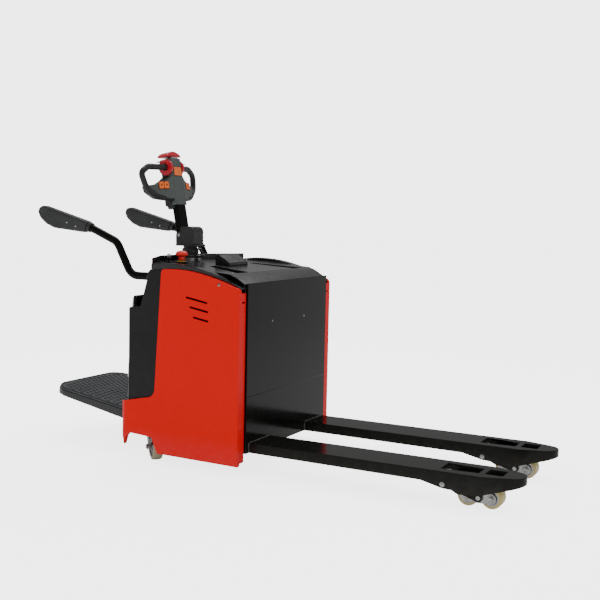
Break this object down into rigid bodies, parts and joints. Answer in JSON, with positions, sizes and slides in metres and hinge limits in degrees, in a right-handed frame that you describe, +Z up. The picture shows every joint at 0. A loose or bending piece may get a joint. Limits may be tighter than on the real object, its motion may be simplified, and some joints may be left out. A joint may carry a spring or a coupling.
{
  "type": "electric pallet truck",
  "caption": "Ride-on electric pallet truck with two forks, red side covers, tiller with loop handles, side arms and a fold-up platform.",
  "frame": {"origin": "on the floor below the fork heels, halfway between the fork tips and the platform's free edge", "axes": "+X along the forks towards their tips, +Y to the truck's left, +Z up"},
  "size_m": [2.3, 0.846, 1.3695],
  "materials": {
    "red_paint": "gloss",
    "black_gloss": "gloss",
    "chassis_black": "satin",
    "cover_black": "textured",
    "rear_gloss": "gloss",
    "head_grey": "textured",
    "head_black": "textured",
    "button_orange": "satin",
    "crimson": "satin",
    "estop_red": "gloss",
    "handle_black": "satin",
    "pad_black": "leather-like",
    "mat_black": "studded",
    "tyre_pu": "satin",
    "tyre_drive": "satin",
    "tyre_caster": "satin",
    "zinc": "zinc plated",
    "steel": "machined",
    "rod_chrome": "polished",
    "alu": "cast",
    "battery_case": "moulded",
    "conduit_black": "ribbed"
  },
  "bodies": {
    "chassis": {"chassis_frame": "chassis_black", "body_shell": "cover_black", "rear_cover": "rear_gloss", "top_cover": "cover_black", "side_cover_right": "red_paint", "side_cover_left": "red_paint", "cover_screws": "zinc", "battery": "battery_case", "power_pack": "alu", "controller": "alu", "lift_cylinder": "steel", "steering_bearings": "steel", "switch_bodies": "cover_black", "platform_brackets": "chassis_black", "arm_sockets": "chassis_black", "instrument_pod": "cover_black"},
    "carriage": {"load_backrest": "black_gloss", "fork_right": "black_gloss", "fork_left": "black_gloss", "lift_rod": "rod_chrome", "yoke_pins": "zinc"},
    "steering": {"steering_column": "chassis_black", "drive_unit": "alu", "hub_cover": "cover_black", "tiller_pin": "steel", "tiller_conduit": "conduit_black"},
    "drive_wheel": {"drive_wheel": "tyre_drive"},
    "tiller": {"tiller_arm": "black_gloss", "head_base": "head_black", "head_cover": "head_grey", "handles": "handle_black"},
    "belly_button": {"belly_button": "crimson"},
    "throttle": {"throttle": "crimson"},
    "estop_button": {"estop_button": "estop_red"},
    "key": {"key": "steel"},
    "platform": {"platform_deck": "chassis_black", "platform_mat": "mat_black"},
    "yoke_right": {"yoke_right": "black_gloss"},
    "push_rod_right": {"push_rod_right": "zinc"},
    "bogie_right": {"bogie_right": "zinc"},
    "caster_fork_right": {"caster_fork_right": "zinc"},
    "caster_wheel_right": {"caster_wheel_right": "tyre_caster"},
    "load_roller_right_front": {"load_roller_right_front": "tyre_pu"},
    "load_roller_right_rear": {"load_roller_right_rear": "tyre_pu"},
    "side_arm_right": {"arm_tube_right": "chassis_black", "arm_pad_right": "pad_black"},
    "button_right_inner": {"button_right_inner": "button_orange"},
    "button_right_outer": {"button_right_outer": "button_orange"},
    "yoke_left": {"yoke_left": "black_gloss"},
    "push_rod_left": {"push_rod_left": "zinc"},
    "bogie_left": {"bogie_left": "zinc"},
    "caster_fork_left": {"caster_fork_left": "zinc"},
    "caster_wheel_left": {"caster_wheel_left": "tyre_caster"},
    "load_roller_left_front": {"load_roller_left_front": "tyre_pu"},
    "load_roller_left_rear": {"load_roller_left_rear": "tyre_pu"},
    "side_arm_left": {"arm_tube_left": "chassis_black", "arm_pad_left": "pad_black"},
    "button_left_inner": {"button_left_inner": "button_orange"},
    "button_left_outer": {"button_left_outer": "button_orange"}
  },
  "joints": [
    {"name": "fork_lift", "type": "slide", "parent": "chassis", "child": "carriage", "axis": [0, 0, 1], "range_m": [-0.05, 0.07]},
    {"name": "yoke_turn_right", "type": "hinge", "parent": "carriage", "child": "yoke_right", "pos_m": [0.85, -0.2535, 0.084], "axis": [0, 1, 0], "range_deg": [-23.8, 33.2]},
    {"name": "push_rod_slide_right", "type": "slide", "parent": "carriage", "child": "push_rod_right", "axis": [1, 0, 0], "range_m": [-0.0118, 0.0164]},
    {"name": "bogie_rock_right", "type": "hinge", "parent": "yoke_right", "child": "bogie_right", "pos_m": [0.98, -0.2535, 0.041], "axis": [0, 1, 0], "range_deg": [-33.2, 23.8]},
    {"name": "load_roller_spin_right_front", "type": "hinge", "parent": "bogie_right", "child": "load_roller_right_front", "pos_m": [1.0265, -0.2535, 0.041], "axis": [0, 1, 0], "continuous": true},
    {"name": "load_roller_spin_right_rear", "type": "hinge", "parent": "bogie_right", "child": "load_roller_right_rear", "pos_m": [0.9335, -0.2535, 0.041], "axis": [0, 1, 0], "continuous": true},
    {"name": "yoke_turn_left", "type": "hinge", "parent": "carriage", "child": "yoke_left", "pos_m": [0.85, 0.2535, 0.084], "axis": [0, 1, 0], "range_deg": [-23.8, 33.2]},
    {"name": "push_rod_slide_left", "type": "slide", "parent": "carriage", "child": "push_rod_left", "axis": [1, 0, 0], "range_m": [-0.0118, 0.0164]},
    {"name": "bogie_rock_left", "type": "hinge", "parent": "yoke_left", "child": "bogie_left", "pos_m": [0.98, 0.2535, 0.041], "axis": [0, 1, 0], "range_deg": [-33.2, 23.8]},
    {"name": "load_roller_spin_left_front", "type": "hinge", "parent": "bogie_left", "child": "load_roller_left_front", "pos_m": [1.0265, 0.2535, 0.041], "axis": [0, 1, 0], "continuous": true},
    {"name": "load_roller_spin_left_rear", "type": "hinge", "parent": "bogie_left", "child": "load_roller_left_rear", "pos_m": [0.9335, 0.2535, 0.041], "axis": [0, 1, 0], "continuous": true},
    {"name": "steering", "type": "hinge", "parent": "chassis", "child": "steering", "pos_m": [-0.53, 0, 0.5], "axis": [0, 0, 1], "range_deg": [-90, 90]},
    {"name": "drive_wheel_spin", "type": "hinge", "parent": "steering", "child": "drive_wheel", "pos_m": [-0.53, 0, 0.115], "axis": [0, 1, 0], "continuous": true},
    {"name": "tiller_tilt", "type": "hinge", "parent": "steering", "child": "tiller", "pos_m": [-0.57, 0, 0.982], "axis": [0, -1, 0], "range_deg": [0, 60], "stiffness_Nm_per_rad": 8, "springref_deg": -57.3},
    {"name": "throttle_turn", "type": "hinge", "parent": "tiller", "child": "throttle", "pos_m": [-0.64049, 0, 1.29225], "axis": [0, 1, 0], "range_deg": [-25, 25], "stiffness_Nm_per_rad": 0.6},
    {"name": "belly_button_press", "type": "slide", "parent": "tiller", "child": "belly_button", "axis": [0.1908, 0, -0.9816], "range_m": [0, 0.0075], "stiffness_N_per_m": 1200, "springref_m": -0.002},
    {"name": "button_press_right_inner", "type": "slide", "parent": "tiller", "child": "button_right_inner", "axis": [-0.9357, 0.3024, -0.1819], "range_m": [0, 0.0025], "stiffness_N_per_m": 400, "springref_m": -0.001},
    {"name": "button_press_right_outer", "type": "slide", "parent": "tiller", "child": "button_right_outer", "axis": [-0.9357, 0.3024, -0.1819], "range_m": [0, 0.0025], "stiffness_N_per_m": 400, "springref_m": -0.001},
    {"name": "button_press_left_inner", "type": "slide", "parent": "tiller", "child": "button_left_inner", "axis": [-0.9357, -0.3024, -0.1819], "range_m": [0, 0.0025], "stiffness_N_per_m": 400, "springref_m": -0.001},
    {"name": "button_press_left_outer", "type": "slide", "parent": "tiller", "child": "button_left_outer", "axis": [-0.9357, -0.3024, -0.1819], "range_m": [0, 0.0025], "stiffness_N_per_m": 400, "springref_m": -0.001},
    {"name": "estop_press", "type": "slide", "parent": "chassis", "child": "estop_button", "axis": [0, 0, -1], "range_m": [0, 0.006]},
    {"name": "key_turn", "type": "hinge", "parent": "chassis", "child": "key", "pos_m": [-0.5, -0.215, 0.88], "axis": [0, 0, -1], "range_deg": [0, 90]},
    {"name": "side_arm_fold_right", "type": "hinge", "parent": "chassis", "child": "side_arm_right", "pos_m": [-0.5, -0.325, 0.806], "axis": [-1, 0, 0], "range_deg": [0, 85]},
    {"name": "side_arm_fold_left", "type": "hinge", "parent": "chassis", "child": "side_arm_left", "pos_m": [-0.5, 0.325, 0.806], "axis": [1, 0, 0], "range_deg": [0, 85]},
    {"name": "platform_fold", "type": "hinge", "parent": "chassis", "child": "platform", "pos_m": [-0.684, 0, 0.158], "axis": [0, 1, 0], "range_deg": [-8.8, 75]},
    {"name": "caster_swivel_right", "type": "hinge", "parent": "chassis", "child": "caster_fork_right", "pos_m": [-0.503, -0.312, 0.14], "axis": [0, 0, 1], "continuous": true},
    {"name": "caster_spin_right", "type": "hinge", "parent": "caster_fork_right", "child": "caster_wheel_right", "pos_m": [-0.47583, -0.33562, 0.06], "axis": [-0.6561, -0.7547, 0], "continuous": true},
    {"name": "caster_swivel_left", "type": "hinge", "parent": "chassis", "child": "caster_fork_left", "pos_m": [-0.503, 0.312, 0.14], "axis": [0, 0, 1], "continuous": true},
    {"name": "caster_spin_left", "type": "hinge", "parent": "caster_fork_left", "child": "caster_wheel_left", "pos_m": [-0.47583, 0.33562, 0.06], "axis": [0.6561, -0.7547, 0], "continuous": true}
  ],
  "couplings": [
    {"joint": "yoke_turn_right", "follows": "fork_lift", "rad_per_m": 8.168},
    {"joint": "push_rod_slide_right", "follows": "fork_lift", "ratio": 0.2287},
    {"joint": "bogie_rock_right", "follows": "fork_lift", "rad_per_m": -8.168},
    {"joint": "yoke_turn_left", "follows": "fork_lift", "rad_per_m": 8.168},
    {"joint": "push_rod_slide_left", "follows": "fork_lift", "ratio": 0.2287},
    {"joint": "bogie_rock_left", "follows": "fork_lift", "rad_per_m": -8.168}
  ]
}
